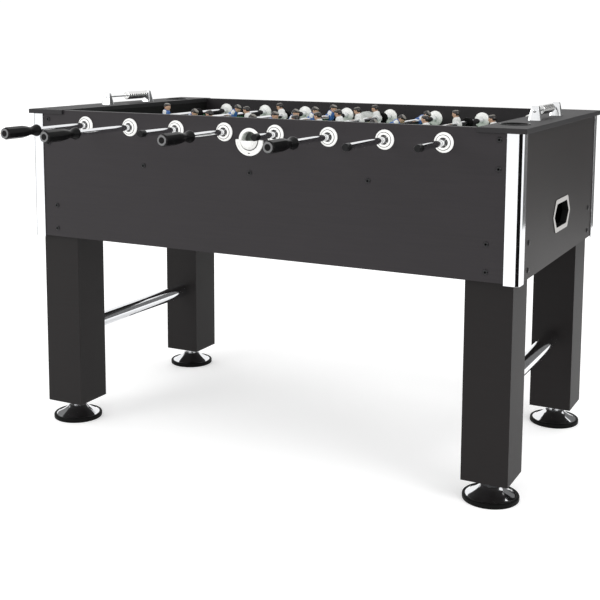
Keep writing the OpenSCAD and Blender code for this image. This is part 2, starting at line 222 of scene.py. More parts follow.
def moulded(name, colour, roughness, mottle=0.06, grain=900.0, relief=0.00003, **extra):
    """Moulded plastic: an even colour with a fine surface grain."""
    finish = Finish(name)
    fine = finish.noise(grain, 2.0)
    broad = finish.noise(18.0, 3.0)
    shade = tuple(part * (1.0 - 3.0 * mottle) for part in colour)
    return finish.surface(
        Base_Color=finish.blend(shade, colour, (broad * 0.6 + fine * 0.4)),
        Roughness=roughness + (broad - 0.5) * 0.08,
        Normal=finish.bump(fine, relief, 0.6),
        **extra,
    )


def bare_wood():
    """Planed softwood with growth lines along its length."""
    finish = Finish("bare_wood")
    lines = finish.noise(14.0, 6.0, (1.0, 9.0, 9.0))
    fibres = finish.noise(300.0, 2.0, (0.08, 1.0, 1.0))
    tone = (lines * 0.8 + fibres * 0.3).clamped()
    return finish.surface(
        Base_Color=finish.blend((0.36, 0.23, 0.12), (0.62, 0.45, 0.27), tone),
        Roughness=0.62 + fibres * 0.15,
        Normal=finish.bump(fibres, 0.0001, 0.5),
    )


def field_print():
    """Printed playing surface: mown bands and white lines under a clear coat."""
    finish = Finish("field_print")
    x, y, _ = finish.axes()
    line = 0.003
    half_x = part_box("playfield")[1].x
    half_y = PANEL_IN
    circle_r, spot_r, corner_r = 0.1, 0.008, 0.06
    area_x, area_y = 0.2, 0.19
    mown_band = 0.148
    bands = (x * (2 * math.pi / mown_band)).sine() * 0.5 + 0.5
    grass = finish.noise(420.0, 3.0)
    spread = finish.noise(7.0, 2.0)
    from_centre = (x * x + y * y).power(0.5)
    from_end = half_x - abs(x)
    corner = ((half_x - abs(x)).power(2.0) + (half_y - abs(y)).power(2.0)).power(0.5)
    in_area = abs(y).below(area_y + line) * from_end.below(area_x + line)
    lines = [
        abs(x).below(line),
        abs(from_centre - circle_r).below(line),
        from_centre.below(spot_r),
        abs(from_end - area_x).below(line) * abs(y).below(area_y),
        abs(abs(y) - area_y).below(line) * from_end.below(area_x),
        abs(corner - corner_r).below(line),
    ]
    paint = lines[0]
    for each in lines[1:]:
        paint = paint.at_least(each)
    wear = 1.0 - (spread * 0.25 + in_area * 0.04)
    green = finish.blend((0.02, 0.13, 0.045), (0.035, 0.19, 0.07), bands * 0.7 + grass * 0.3)
    return finish.surface(
        Base_Color=finish.blend(green, (0.72, 0.75, 0.7), paint * wear),
        Roughness=0.32 + grass * 0.1,
        Normal=finish.bump(grass, 0.00005, 0.4),
    )


def bezel_plastic():
    """Grey rim; the throat behind it is painted near-black as the shade inside the opening."""
    finish = Finish("grey_plastic")
    fine = finish.noise(900.0, 2.0)
    x, _, _ = finish.axes()
    # Throat mask: near-black is painted here as the shade inside the opening
    painted_throat_shade = abs(x).below(END_OUT + 1.2 * MM)
    return finish.surface(
        Base_Color=finish.blend((0.4, 0.39, 0.38), (0.006, 0.006, 0.006), painted_throat_shade),
        Roughness=0.4 + fine * 0.1,
        Specular_IOR_Level=0.12,
        Normal=finish.bump(fine, 0.00003, 0.6),
    )


def painted(name, colour, roughness=0.34):
    """Hand-painted figure enamel, a little uneven."""
    finish = Finish(name)
    brush = finish.noise(260.0, 3.0)
    shade = tuple(part * 0.78 for part in colour)
    return finish.surface(
        Base_Color=finish.blend(shade, colour, brush),
        Roughness=roughness + (brush - 0.5) * 0.1,
        Normal=finish.bump(brush, 0.00004, 0.5),
    )


BLACK_BOARD = laminate("black_laminate", (0.0222, 0.0188, 0.0214))
# Darker copy of the same laminate for the end panels: painted shade
SHADED_END_BOARD = laminate("black_laminate_ends_painted_shade", (0.0195, 0.0166, 0.0162), 0.46, 0.2)
# Much darker copy of the same laminate for the legs: painted shade
SHADED_LEG_BOARD = laminate("black_laminate_legs_painted_shade", (0.0098, 0.0078, 0.0078), 0.5, 0.21)
TOP_BOARD = laminate("black_laminate_top", (0.02, 0.0188, 0.0205), 0.56)
# Much darker copy of the laminate for the goal walls and cabinet floor inside the table: painted
# shade
SHADED_INNER_BOARD = laminate("black_laminate_inner_painted_shade", (0.0068, 0.0064, 0.0064), 0.5, 0.18)
CHROME = polished_chrome()
SATIN = polished_chrome("satin_chrome", 0.16, (0.8, 0.81, 0.82))
WHITE = moulded("white_plastic", (0.86, 0.86, 0.84), 0.2, 0.02)
# Dark grey of the hub, also used as painted shade in the bearings' pressed groove
HUB_AND_GROOVE_SHADE = moulded("bearing_hub_and_painted_groove_shade", (0.12, 0.12, 0.12), 0.3, 0.05)
# Near-black of the half ring painted as the shadow where the serve pocket meets its flange
JUNCTION_SHADE = moulded("serve_cup_painted_junction_shade", (0.03, 0.03, 0.03), 0.5, 0.05)
SMOKE = moulded(
    "clear_grey_plastic", (0.62, 0.64, 0.62), 0.12, 0.03, Transmission_Weight=0.35, IOR=1.46
)
BEZEL = bezel_plastic()
BLACK = moulded("black_plastic", (0.007, 0.007, 0.0075), 0.3, 0.05, Specular_IOR_Level=0.16)
GRIP = moulded("black_grip", (0.004, 0.004, 0.0042), 0.3, 0.06, 1400.0, 0.00004,
               Specular_IOR_Level=0.11)
GRIP_FACE = moulded("grip_end_face", (0.13, 0.13, 0.132), 0.35, 0.05)
RUBBER = moulded("black_rubber", (0.004, 0.004, 0.004), 0.5, 0.06, 700.0, 0.00006,
                 Specular_IOR_Level=0.07)
STEEL = moulded("black_steel", (0.012, 0.012, 0.013), 0.3, 0.05, Specular_IOR_Level=0.3)
BEAD = polished_chrome("bead_plating", 0.1, (0.8, 0.8, 0.79))
WOOD = bare_wood()
FIELD = field_print()
SKIN = painted("figure_skin", (0.66, 0.4, 0.28))
HAIR = painted("figure_hair", (0.012, 0.009, 0.008), 0.36)
# Lighter flat top of the black hair: a painted highlight where the light falls
HAIR_HIGHLIGHT = painted("figure_hair_painted_highlight", (0.2, 0.185, 0.165), 0.4)
BLUE = painted("figure_blue", (0.045, 0.14, 0.42))
PALE = painted("figure_white", (0.8, 0.8, 0.79))
NAVY = painted("figure_shorts", (0.008, 0.008, 0.011))
DARK = painted("figure_boots", (0.008, 0.008, 0.008), 0.28)


# ---- mesh building -----------------------------------------------------------


def rounded(points, radius, steps=4, closed=False):
    """The outline with each corner eased by about the radius."""
    count = len(points)
    out = []
    for i, corner in enumerate(points):
        if not closed and i in (0, count - 1):
            out.append(corner)
            continue
        here = Vector(corner)
        before = Vector(points[i - 1]) - here
        after = Vector(points[(i + 1) % count]) - here
        reach = min(radius, before.length * 0.45, after.length * 0.45)
        start = here + before.normalized() * reach
        end = here + after.normalized() * reach
        for step in range(steps + 1):
            t = step / steps
            spot = start * (1 - t) ** 2 + here * 2 * t * (1 - t) + end * t * t
            out.append((spot.x, spot.y))
    return out


def polygon_factor(theta, sides, softness):
    """How far a rounded polygon's edge lies inside its circle at that angle."""
    step = 2 * math.pi / sides
    flat = math.cos(step / 2) / math.cos((theta % step) - step / 2)
    return softness + (1 - softness) * flat


class Build:
    """A mesh made of turned, lofted and cut parts, in metres."""

    def __init__(self):
        self.mesh = bmesh.new()

    def _stitch(self, rings, finish, around=True):
        for low, high in zip(rings, rings[1:]):
            count = len(low)
            for i in range(count if around else count - 1):
                j = (i + 1) % count
                corners = list(dict.fromkeys([low[i], low[j], high[j], high[i]]))
                if len(corners) > 2:
                    face = self.mesh.faces.new(corners)
                    face.material_index = finish
                    face.smooth = True

    def _cap(self, ring, finish):
        corners = list(dict.fromkeys(ring))
        if len(corners) > 2:
            self.mesh.faces.new(corners).material_index = finish

    def turned(self, at, profile, segments=48, finish=0, arc=None, loop=False, shape=None):
        """Turns [radius, along] points about the axis of at. arc is (start, end) in
        degrees for part of a turn; loop closes the profile; shape scales the radius."""
        start, end = (0.0, 360.0) if arc is None else arc
        steps = segments if arc is None else segments + 1
        rings = []
        for radius, along in profile:
            if radius < 1e-6:
                rings.append([self.mesh.verts.new(at @ Vector((0, 0, along)))] * steps)
                continue
            ring = []
            for i in range(steps):
                theta = math.radians(start + (end - start) * i / segments)
                r = radius * (shape(theta, along) if shape else 1.0)
                spot = Vector((r * math.cos(theta), r * math.sin(theta), along))
                ring.append(self.mesh.verts.new(at @ spot))
            rings.append(ring)
        ends = [[ring[i] for ring in rings] for i in (0, -1)]
        if loop:
            rings.append(rings[0])
        self._stitch(rings, finish, arc is None)
        if arc is not None:
            for each in ends:
                self._cap(each, finish)
        elif not loop:
            for ring in (rings[0], rings[-1]):
                self._cap(ring, finish)
        return self

    def loft(self, at, sections, finish=0, segments=20, power=2.0, steps=4):
        """Closed body through oval sections (z, x, y, half_x, half_y), eased between."""
        rings = []
        for z, x, y, half_x, half_y in eased(sections, steps):
            ring = []
            for i in range(segments):
                theta = 2 * math.pi * i / segments
                c, s = math.cos(theta), math.sin(theta)
                reach = (abs(c) ** power + abs(s) ** power) ** (-1 / power)
                spot = Vector((x + half_x * c * reach, y + half_y * s * reach, z))
                ring.append(self.mesh.verts.new(at @ spot))
            rings.append(ring)
        self._stitch(rings, finish)
        self._cap(rings[0], finish)
        self._cap(rings[-1], finish)
        return self

    def prism(self, at, outline, low, high, finish=0, bevel=0.0):
        """Outline in the local XY plane, drawn from low to high along local Z."""
        before = set(self.mesh.verts)
        rings = [
            [self.mesh.verts.new(at @ Vector((x, y, z))) for x, y in outline]
            for z in (low, high)
        ]
        self._stitch(rings, finish)
        for ring in rings:
            self._cap(ring, finish)
        for face in self.mesh.faces:
            face.smooth = True
        if bevel:
            fresh = [v for v in self.mesh.verts if v not in before]
            faces = {face for vert in fresh for face in vert.link_faces}
            edges = [
                edge
                for edge in {e for face in faces for e in face.edges}
                if len(edge.link_faces) == 2 and edge.calc_face_angle(0.0) > math.radians(25)
            ]
            bmesh.ops.bevel(
                self.mesh, geom=edges, offset=bevel, segments=3, profile=0.6, affect="EDGES",
                clamp_overlap=True, material=finish,
            )
        return self

    def ball(self, at, centre, radii, finish=0, segments=16):
        """Ellipsoid as a loft, for small rounded features."""
        rings = segments // 2
        sections = []
        for i in range(rings + 1):
            angle = math.pi * i / rings - math.pi / 2
            pole = 0.02
            reach = max(math.cos(angle), pole)
            sections.append(
                (centre[2] + radii[2] * math.sin(angle), centre[0], centre[1],
                 radii[0] * reach, radii[1] * reach)
            )
        return self.loft(at, sections, finish, segments, steps=1)

    def copies(self, transforms):
        """Repeats what is built so far at each transform and drops the first."""
        master = bpy.data.meshes.new("master")
        self.mesh.to_mesh(master)
        self.mesh.clear()
        for transform in transforms:
            copy = master.copy()
            copy.transform(transform)
            self.mesh.from_mesh(copy)
            bpy.data.meshes.remove(copy)
        bpy.data.meshes.remove(master)
        return self

    def to_mesh(self, name, finishes, sharp=32.0):
        bmesh.ops.recalc_face_normals(self.mesh, faces=self.mesh.faces)
        mesh = bpy.data.meshes.new(name)
        self.mesh.to_mesh(mesh)
        self.mesh.free()
        for finish in finishes:
            mesh.materials.append(finish)
        mesh.polygons.foreach_set("use_smooth", [True] * len(mesh.polygons))
        mesh.set_sharp_from_angle(angle=math.radians(sharp))
        return mesh

    def piece(self, name, body, slot, *finishes, replaces=(), sharp=32.0):
        return set_out(name, self.to_mesh(name, finishes, sharp), body, replaces)


def eased(sections, steps):
    """Sections with smooth curves between them, through each one."""
    out = []
    last = len(sections) - 1
    for i in range(last):
        before = sections[max(i - 1, 0)]
        a, b = sections[i], sections[i + 1]
        after = sections[min(i + 2, last)]
        for step in range(steps):
            t = step / steps
            out.append([
                0.5 * (2 * q + (r - p) * t + (2 * p - 5 * q + 4 * r - s) * t**2
                       + (3 * q - p - 3 * r + s) * t**3)
                for p, q, r, s in zip(before, a, b, after)
            ])
    out.append(list(sections[last]))
    return out


def set_out(name, mesh, body, replaces=(), at=None):
    """Puts a mesh in the scene as a piece that rides on a body."""
    thing = bpy.data.objects.new(name, mesh)
    bpy.context.scene.collection.objects.link(thing)
    if at is not None:
        thing.matrix_world = at
    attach(thing, body)
    if replaces:
        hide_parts(*replaces)
    return thing


def spot(x=0.0, y=0.0, z=0.0):
    return Matrix.Translation((x, y, z))


def along_y(x, y, z):
    """Local Z runs along +Y; the local Y axis points down."""
    return spot(x, y, z) @ Matrix.Rotation(math.radians(-90), 4, "X")


HALF_TURN = Matrix.Rotation(math.pi, 4, "Z")
BOTH_WAYS = (Matrix.Identity(4), HALF_TURN)


def paint_node(node, finish):
    """Gives a CAD node that stays its finish."""
    materials = frame["nodes"][node].data.materials
    materials.clear()
    materials.append(finish)


def softened(node, body, finish, width, steps=2):
    """A piece with the CAD node's shape and its edges broken."""
    mesh = frame["nodes"][node].data.copy()
    mesh.name = f"{node}_soft"
    if "custom_normal" in mesh.attributes:
        mesh.attributes.remove(mesh.attributes["custom_normal"])
    shape = bmesh.new()
    shape.from_mesh(mesh)
    bmesh.ops.remove_doubles(shape, verts=shape.verts, dist=1e-6)
    bmesh.ops.dissolve_limit(
        shape, angle_limit=math.radians(0.4), verts=shape.verts, edges=shape.edges
    )
    shape.to_mesh(mesh)
    shape.free()
    mesh.materials.clear()
    mesh.materials.append(finish)
    mesh.polygons.foreach_set("use_smooth", [True] * len(mesh.polygons))
    mesh.polygons.foreach_set("material_index", [0] * len(mesh.polygons))
    thing = set_out(f"{node}_finished", mesh, body, (node,))
    bevel = thing.modifiers.new("edges", "BEVEL")
    bevel.width = width
    bevel.segments = steps
    bevel.limit_method = "ANGLE"
    bevel.angle_limit = math.radians(35)
    bevel.harden_normals = True
    return thing


# ---- cabinet -----------------------------------------------------------------


def cabinet_boards():
    for node in ("front_panel", "rear_panel"):
        softened(node, "cabinet", BLACK_BOARD, 0.9 * MM)
    for node in ("left_end_panel", "right_end_panel"):
        # End panels take the darker laminate copy: painted shade
        softened(node, "cabinet", SHADED_END_BOARD, 0.9 * MM)
    # Legs take the much darker laminate copy: painted shade
    softened("legs", "cabinet", SHADED_LEG_BOARD, 0.9 * MM)
    for node in ("left_top_board", "right_top_board"):
        softened(node, "cabinet", TOP_BOARD, 1.2 * MM)


def inner_parts():
    # Goal walls and cabinet floor take the much darker laminate copy: painted shade
    paint_node("goal_walls", SHADED_INNER_BOARD)
    paint_node("cabinet_floor", SHADED_INNER_BOARD)
    paint_node("ball_boxes", BLACK)
    paint_node("wood_cleats", WOOD)
    paint_node("playfield", FIELD)


def corner_trims():
    """Angle strips with a rounded corner, bright all over."""
    softened("corner_trims", "cabinet", CHROME, 0.5 * MM)


def crossbars():
    low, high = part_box("crossbars")
    radius = (high.z - low.z) / 2
    build = Build()
    for side in SIDES:
        build.turned(
            along_y(side * (high.x - radius), low.y, (low.z + high.z) / 2),
            [(radius - 1.5 * MM, 0.0), (radius, 0.0), (radius, high.y - low.y),
             (radius - 1.5 * MM, high.y - low.y)],
            64, loop=True,
        )
    build.piece("crossbar_tubes", "cabinet", "chrome", CHROME, replaces=("crossbars",))


def return_bezels():
    softened("return_bezels", "cabinet", BEZEL, 0.8 * MM, 3)


def bolt_head_profile(size):
    """Button head with a hexagon socket, underside at 0."""
    head_r, head_t, socket = size
    dome = rounded([(socket + 0.4 * MM, head_t), (head_r * 0.72, head_t),
                    (head_r, head_t * 0.45), (head_r, 0.0)], 1.2 * MM)
    return [(0.0, head_t * 0.25), (socket, head_t * 0.25), (socket, head_t)] + dome


def cabinet_bolts():
    head_r, socket = 6.5 * MM, 2.9 * MM
    head_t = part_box("cabinet_bolts")[1].y - PANEL_OUT

    def hexagon(theta, along):
        return polygon_factor(theta, 6, 0.0)

    build = Build()
    profile = bolt_head_profile((head_r, head_t, socket))
    build.turned(Matrix.Identity(4), profile[:3], 36, shape=hexagon)
    build.turned(Matrix.Identity(4), profile[2:] + [(0.0, 0.0)], 36)
    leg_low, leg_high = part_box("front_right_leveler")
    leg_x, leg_y = (leg_low.x + leg_high.x) / 2, -(leg_low.y + leg_high.y) / 2
    cab_z = PANEL_LOW.z
    leg_bolts = [cab_z + 23 * MM, cab_z + 88 * MM]
    corner_bolts = [BOARD_LOW.z - 82 * MM, BOARD_LOW.z - 15 * MM]
    corner_x, rail_x, rail_z = 647 * MM, 326 * MM, BOARD_TOP - 140 * MM
    inset = 4 * MM
    places = [(side * (leg_x - inset), z) for side in SIDES for z in leg_bolts]
    places += [(side * corner_x, z) for side in SIDES for z in corner_bolts]
    places += [(x * rail_x, rail_z) for x in (-1, 0, 1)]
    end_drop = 2 * MM
    towards_front = Matrix.Rotation(math.radians(90), 4, "X")
    towards_right = Matrix.Rotation(math.radians(90), 4, "Y")
    transforms = [
        turn @ spot(x, -PANEL_OUT, z) @ towards_front for turn in BOTH_WAYS for x, z in places
    ]
    transforms += [
        turn @ spot(END_OUT, y * leg_y, z - end_drop) @ towards_right
        for turn in BOTH_WAYS for y in SIDES for z in leg_bolts
    ]
    build.copies(transforms)
    build.piece("cabinet_bolt_heads", "cabinet", "black_steel", STEEL,
                replaces=("cabinet_bolts",))


# ---- bearings ----------------------------------------------------------------


def every_bearing():
    """Turns a bearing built at the rear of rod 0 to each of its sixteen places."""
    return [
        turn @ spot(side * rod_x(rod), 0, ROD_Z)
        for side, turn in zip(SIDES, (HALF_TURN, Matrix.Identity(4))) for rod in RODS
    ]


def bearings():
    """White discs with a pressed ring whose groove is painted dark as shade, a dark hub and its
    spokes round each rod.
    """
    low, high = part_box("bearing_flanges")
    stand = high.y - PANEL_OUT
    disc_r = (high.x - low.x) / 2 - (rod_x(8) - rod_x(1)) / 2
    sleeve_r = 15 * MM
    hub_r = 11.6 * MM
    bore = ROD_R + 0.1 * MM
    face = rounded([
        (disc_r - 0.6 * MM, 0.0), (disc_r, 0.8 * MM), (disc_r, 2.6 * MM),
        (disc_r - 3 * MM, 5.2 * MM), (18.6 * MM, stand - 2.6 * MM),
    ], 0.8 * MM, 3)
    groove = [(18.6 * MM, stand - 2.6 * MM), (18.2 * MM, stand - 3.3 * MM),
              (17.5 * MM, stand - 3.3 * MM), (17.1 * MM, stand - 2 * MM)]
    crown = rounded([
        (17.1 * MM, stand - 2 * MM), (14.6 * MM, stand - 1 * MM),
        (hub_r + 0.6 * MM, stand - 0.6 * MM), (hub_r, stand - 1.2 * MM),
        (hub_r, stand - 3 * MM),
    ], 0.6 * MM, 3)
    hub = rounded([
        (hub_r, stand - 2.6 * MM), (bore + 1.4 * MM, stand - 2.6 * MM),
        (bore + 1.1 * MM, stand), (bore, stand), (bore, stand - 6 * MM),
    ], 0.3 * MM, 3)
    build = Build()
    at = along_y(0, PANEL_OUT, 0)
    build.turned(at, [(sleeve_r, -PANEL_T), (sleeve_r, 0.0)] + face, 64)
    # The groove takes the dark hub finish: painted shade in the pressed ring
    build.turned(at, groove, 64, 1)
    build.turned(at, crown, 64)
    build.turned(at, hub, 64, 1)
    for spoke in range(4):
        build.prism(
            at @ Matrix.Rotation(math.radians(90 * spoke + 45), 4, "Z"),
            [(bore + 0.9 * MM, -0.8 * MM), (hub_r + 0.1 * MM, -0.8 * MM),
             (hub_r + 0.1 * MM, 0.8 * MM), (bore + 0.9 * MM, 0.8 * MM)],
            stand - 2.9 * MM, stand - 1 * MM,
        )
    build.copies(every_bearing())
    build.piece("bearing_discs", "cabinet", "white_plastic", WHITE, HUB_AND_GROOVE_SHADE,
                replaces=("bearing_flanges",))

    nut_low, nut_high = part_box("bearing_nuts")
    nut_r = (nut_high.x - nut_low.x) / 2 - (rod_x(8) - rod_x(1)) / 2
    depth = 8 * MM
    outline = rounded([
        (bore, 0.0), (nut_r, 0.0), (nut_r, 3 * MM), (nut_r - 3.5 * MM, 6 * MM),
        (14 * MM, depth - 0.4 * MM), (11 * MM, depth), (bore, depth),
    ], 0.8 * MM, 3, closed=True)

    def lugs(theta, along):
        ripple = 0.5 + 0.5 * math.cos(12 * theta)
        return 1.0 - 0.025 * ripple * (along > 0.5 * MM)

    build = Build()
    build.turned(along_y(0, -PANEL_IN, 0), outline, 96, loop=True, shape=lugs)
    build.copies(every_bearing())
    build.piece("bearing_inner_nuts", "cabinet", "white_plastic", WHITE,
                replaces=("bearing_nuts",))


# ---- serving -----------------------------------------------------------------


def serve_cups():
    low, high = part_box("serve_cups")
    bore = 22 * MM
    wall = 2.8 * MM
    serve_z = low.z + 40 * MM
    ring_r = high.z - serve_z
    flange_r = 40 * MM
    at = along_y(0, -PANEL_OUT, serve_z)
    build = Build()
    ring = rounded([
        (bore, -1 * MM), (bore, -3.2 * MM), (bore + 2.5 * MM, -4 * MM),
        (ring_r - 2 * MM, -4 * MM), (ring_r, -2 * MM), (ring_r, 0.0), (bore, 0.0),
    ], 0.9 * MM, 3, closed=True)
    build.turned(at, ring, 48, arc=(180, 360), loop=True)
    flange = rounded([
        (bore + wall, 0.0), (bore + wall, -2.4 * MM), (bore + wall + 1.6 * MM, -3.2 * MM),
        (flange_r - 7 * MM, -3.2 * MM), (flange_r - 5.5 * MM, -5 * MM),
        (flange_r - 2 * MM, -5 * MM), (flange_r, -3 * MM), (flange_r, 0.0),
    ], 0.9 * MM, 3, closed=True)
    build.turned(at, flange, 64, arc=(0, 180), loop=True)
    turns = 14
    quarter = [math.pi / 2 * i / turns for i in range(turns + 1)]
    outer = [((bore + wall) * math.cos(t), -(bore + wall) * math.sin(t)) for t in quarter]
    inner = [(bore * math.cos(t), -bore * math.sin(t)) for t in reversed(quarter)]
    build.turned(at, outer + inner, 48, arc=(0, 180), loop=True)
    # Near-black half ring where the pocket meets the flange: painted shadow of that junction
    junction_shade_ring = rounded([
        (bore + wall - 0.3 * MM, -1 * MM), (bore + wall - 0.3 * MM, -3.6 * MM),
        (bore + wall + 2.1 * MM, -3.6 * MM), (bore + wall + 2.1 * MM, -1 * MM),
    ], 0.4 * MM, 3, closed=True)
    build.turned(at, junction_shade_ring, 48, 2, arc=(0, 180), loop=True)
    build.turned(at, [(bore, 0.0), (bore + wall, 0.0), (bore + wall, PANEL_T),
                      (bore, PANEL_T)], 64, loop=True)
    tab_x = (flange_r + ring_r) / 2 * 0.985
    tab_w, tab_h, tab_t = 8.8 * MM, 2 * MM, 2.5 * MM
    for x in SIDES:
        build.prism(
            at @ spot(x * tab_x, -1 * MM, 0),
            [(-tab_w / 2, 0.0), (tab_w / 2, 0.0), (tab_w / 2, tab_h), (-tab_w / 2, tab_h)],
            -tab_t, 0.0,
        )
    screw_drop, flange_t = 35.5 * MM, 3.2 * MM
    build.turned(
        at @ spot(0, screw_drop, -flange_t) @ Matrix.Rotation(math.pi, 4, "X"),
        rounded([(0.0, 1.6 * MM), (2.8 * MM, 1.6 * MM), (3.6 * MM, 0.7 * MM),
                 (3.6 * MM, 0.0), (0.0, 0.0)], 0.5 * MM, 3),
        24, 1,
    )
    build.copies(BOTH_WAYS)
    build.piece("serve_cup_pair", "cabinet", "white_plastic", WHITE, STEEL, JUNCTION_SHADE,
                replaces=("serve_cups",))


def serve_hoods():
    low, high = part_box("serve_hoods")
    radius = high.x
    depth = 40 * MM
    wall = 3 * MM
    outer = rounded([(radius, 0.0), (radius, depth * 0.5), (radius * 0.86, depth * 0.82),
                     (radius * 0.6, depth), (0.0, depth)], 6 * MM, 5)
    inner = [(max(r - wall, 0.0), y - (wall if r < radius * 0.9 else 0.0))
             for r, y in reversed(outer)]
    build = Build()
    at = along_y(0, -PANEL_IN, low.z)
    build.turned(at, outer, 48, arc=(180, 360))
    build.turned(at, inner, 48, arc=(180, 360))
    for step in range(5):
        reach = radius - 1 * MM
        along = depth * (0.06 + 0.1 * step)
        build.turned(at, [(reach, along - 1 * MM), (radius + 0.5 * MM, along),
                          (reach, along + 1 * MM)], 48, arc=(180, 360), loop=True)
    build.copies(BOTH_WAYS)
    build.piece("serve_hood_pair", "cabinet", "clear_grey_plastic", SMOKE,
                replaces=("serve_hoods",))


# ---- end boards' fittings ----------------------------------------------------


def cup_holders():
    low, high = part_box("cup_holders")
    bore = 32 * MM
    wall = 2.5 * MM
    floor_z = low.z
    top = high.z
    rim = 36 * MM
    cup_x = high.x - rim
    cup_y = high.y - rim
    profile = rounded([
        (0.0, 0.0), (bore + wall - 3 * MM, 0.0), (bore + wall, 3 * MM),
        (bore + wall, BOARD_TOP - floor_z), (rim, BOARD_TOP - floor_z),
        (rim, top - floor_z - 0.6 * MM), (rim - 1.2 * MM, top - floor_z),
        (bore + 1 * MM, top - floor_z), (bore, top - floor_z - 1 * MM),
        (bore, 5 * MM), (bore - 2.5 * MM, 3 * MM), (0.0, 3 * MM),
    ], 0.8 * MM, 3)
    build = Build()
    build.turned(spot(cup_x, -cup_y, floor_z), profile, 72)
    build.copies(BOTH_WAYS)
    build.piece("cup_holder_pair", "cabinet", "black_plastic", BLACK,
                replaces=("cup_holders",))


def scorer_frames():
    """Tapered posts with rounded edges, and the beads' wire with its end buttons."""
    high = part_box("scorer_frames")[1]
    base_w, top_w = 31 * MM, 19 * MM
    base_t, top_t = 25 * MM, 10 * MM
    post_h = high.z - BOARD_TOP
    score_x = high.x - base_w / 2
    post_y = high.y - base_t / 2
    bead_low, bead_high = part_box("left_scorer_beads")
    wire_z = (bead_low.z + bead_high.z) / 2
    wire_r = 2.5 * MM
    slope = post_h - 2 * MM

    def section(z, inset=0.0):
        share = min(z / slope, 1.0)
        return (z, 0.0, 0.0, (base_w + (top_w - base_w) * share) / 2 - inset,
                (base_t + (top_t - base_t) * share) / 2 - inset)

    sections = [section(0.0), section(slope * 0.5), section(slope),
                section(slope + 1 * MM, 0.6 * MM), section(post_h, 1.8 * MM)]
    button_y = section(wire_z - BOARD_TOP)[4]
    build = Build()
    for y in SIDES:
        at = spot(0, y * post_y, BOARD_TOP)
        build.loft(at, sections, 0, 56, 9.0, steps=1)
        outwards = along_y(0, 0, 0) if y > 0 else HALF_TURN @ along_y(0, 0, 0)
        button = rounded([
            (0.0, -1.4 * MM), (4.4 * MM, -1.4 * MM), (4.4 * MM, 0.7 * MM),
            (3.4 * MM, 1.5 * MM), (0.0, 1.5 * MM),
        ], 0.5 * MM, 3)
        build.turned(spot(0, y * (post_y + button_y), wire_z) @ outwards, button, 32)
    reach = post_y + 4 * MM
    build.turned(along_y(0, -reach, wire_z),
                 [(0.0, 0.0), (wire_r, 0.0), (wire_r, 2 * reach), (0.0, 2 * reach)], 32)
    build.copies([spot(side * score_x) for side in SIDES])
    build.piece("scorer_frame_pair", "cabinet", "chrome", SATIN,
                replaces=("scorer_frames",))


def scoring_beads(side):
    low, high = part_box(f"{side}_scorer_beads")
    count = 10
    radius = (high.z - low.z) / 2
    pitch = (high.y - low.y) / (count - 0.02)
    bead_t = pitch - 0.2 * MM
    bore = 2.6 * MM
    build = Build()
    build.turned(
        along_y(0, 0, 0),
        rounded([(bore, 0.0), (radius - 1 * MM, 0.0), (radius, 1.3 * MM),
                 (radius, bead_t - 1.3 * MM), (radius - 1 * MM, bead_t), (bore, bead_t)],
                1 * MM, 4, closed=True),
        56, loop=True,
    )
    middle = (low + high) / 2
    build.copies([spot(middle.x, low.y + i * pitch, middle.z) for i in range(count)])
    build.piece(f"{side}_scoring_beads", f"{side}_beads", "chrome", BEAD,
                replaces=(f"{side}_scorer_beads",))


# ---- levelers ----------------------------------------------------------------


def leveler(corner):
    node = f"{corner}_leveler"
    low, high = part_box(node)
    middle = (low + high) / 2
    at = spot(middle.x, middle.y, 0)
    r = (high.x - low.x) / 2
    nut_z = 36 * MM
    bell = rounded([
        (r - 7.6 * MM, 11.2 * MM), (r - 12 * MM, 12.4 * MM), (r - 26 * MM, 19.5 * MM),
        (31 * MM, 28.6 * MM), (26.4 * MM, nut_z - 1.6 * MM), (25 * MM, nut_z - 0.2 * MM),
        (12 * MM, nut_z), (0.0, nut_z),
    ], 7 * MM, 6)
    build = Build()
    build.turned(at, bell, 96)
    build.piece(f"{node}_bell", f"{corner}_foot", "chrome", CHROME, replaces=(node,))

    build = Build()
    rim = rounded([
        (r - 8 * MM, 0.0), (r - 1 * MM, 0.0), (r, 1.4 * MM), (r, 9.6 * MM),
        (r - 1.8 * MM, 12 * MM), (r - 7 * MM, 12 * MM), (r - 8 * MM, 11 * MM),
    ], 1.2 * MM, 4, closed=True)
    build.turned(at, rim, 96, loop=True)
    build.turned(at, [(0.0, 3 * MM), (r - 8 * MM, 3 * MM), (r - 8 * MM, 4 * MM),
                      (0.0, 4 * MM)], 64)
    build.piece(f"{node}_rim", f"{corner}_foot", "black_rubber", RUBBER)

    build = Build()
    nut_h = 9 * MM
    across = 13.5 * MM
    build.prism(
        at,
        [(across * math.cos(math.radians(60 * i + 15)),
          across * math.sin(math.radians(60 * i + 15))) for i in range(6)],
        nut_z, nut_z + nut_h, bevel=0.8 * MM,
    )
    stud_r = 7.9 * MM
    pitch = 2.5 * MM
    rings_per_turn = 6
    top = high.z
    count = int((top - nut_z) / pitch * rings_per_turn)

    def thread(theta, along):
        phase = (along / pitch - theta / (2 * math.pi)) % 1.0
        return 1.0 - 0.13 * (1.0 - abs(2 * phase - 1.0)) ** 0.8

    stud = [(stud_r, nut_z + (top - nut_z) * i / count) for i in range(count + 1)]
    build.turned(at, [(0.0, nut_z)] + stud + [(0.0, top)], 32, shape=thread)
    build.piece(f"{node}_stud", f"{corner}_foot", "chrome", SATIN, sharp=60.0)


# ---- playing rods ------------------------------------------------------------


def rod_tube(rod):
    low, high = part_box(f"rod_{rod}_tube")
    wall = 2 * MM
    length = high.y - low.y
    build = Build()
    build.turned(
        along_y(rod_x(rod), low.y, ROD_Z),
        [(ROD_R - wall, 0.0), (ROD_R, 0.0), (ROD_R, length), (ROD_R - wall, length)],
        64, loop=True,
    )
    build.piece(f"rod_{rod}_chrome_tube", f"rod_{rod}_spinner", "chrome", CHROME,
                replaces=(f"rod_{rod}_tube",))


